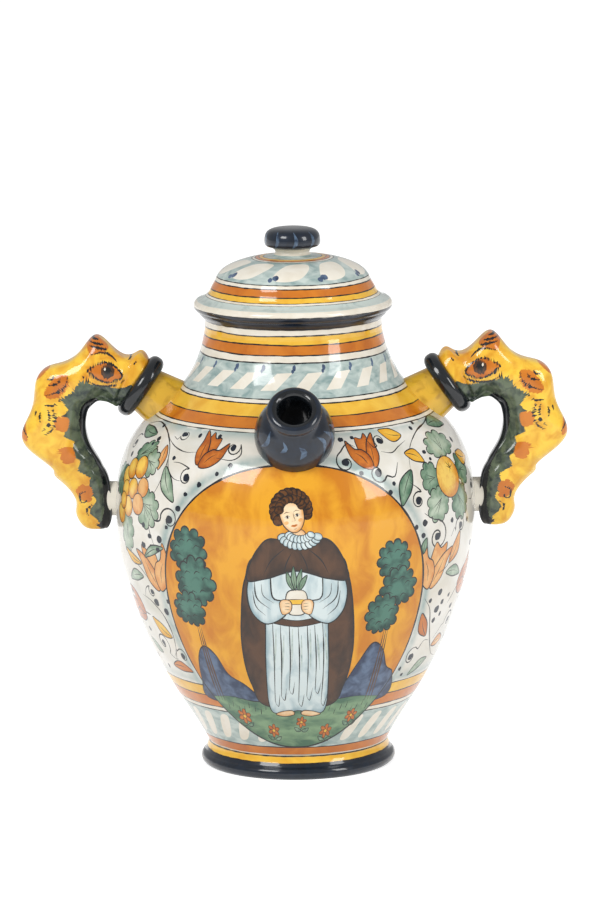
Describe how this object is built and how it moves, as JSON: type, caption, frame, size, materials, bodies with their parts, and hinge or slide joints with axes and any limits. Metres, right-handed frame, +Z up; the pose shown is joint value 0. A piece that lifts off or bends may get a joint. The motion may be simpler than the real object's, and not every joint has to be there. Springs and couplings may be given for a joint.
{
  "type": "apothecary jar",
  "caption": "Lidded glazed ceramic apothecary jar with a pouring spout on its shoulder and creature handles at its sides; the lid lifts off the mouth.",
  "frame": {"origin": "middle of the foot ring's sole, on the surface that the jar stands on", "axes": "+Z up along the axis of the thrown body, -Y out of the spout, +X towards the handle on the viewer's right"},
  "size_m": [0.4032, 0.2786, 0.4],
  "materials": {
    "jar_body": "gloss",
    "foot_ring": "gloss",
    "mouth_rim": "gloss",
    "spout": "gloss",
    "socket": "gloss",
    "collar": "gloss",
    "creature": "gloss",
    "pad": "gloss",
    "lid": "gloss",
    "lid_gallery": "gloss",
    "lid_knob": "gloss"
  },
  "bodies": {
    "jar": {"jar_body": "jar_body", "foot_ring": "foot_ring", "mouth_rim": "mouth_rim", "spout": "spout", "socket_left": "socket", "socket_right": "socket", "collar_left": "collar", "collar_right": "collar", "handle_left": "creature", "handle_right": "creature", "pad_left": "pad", "pad_right": "pad"},
    "lid": {"lid": "lid", "lid_gallery": "lid_gallery", "lid_knob": "lid_knob"}
  },
  "joints": [
    {"name": "lid_lift", "type": "slide", "parent": "jar", "child": "lid", "axis": [0, 0, 1], "range_m": [0, 0.15]}
  ]
}
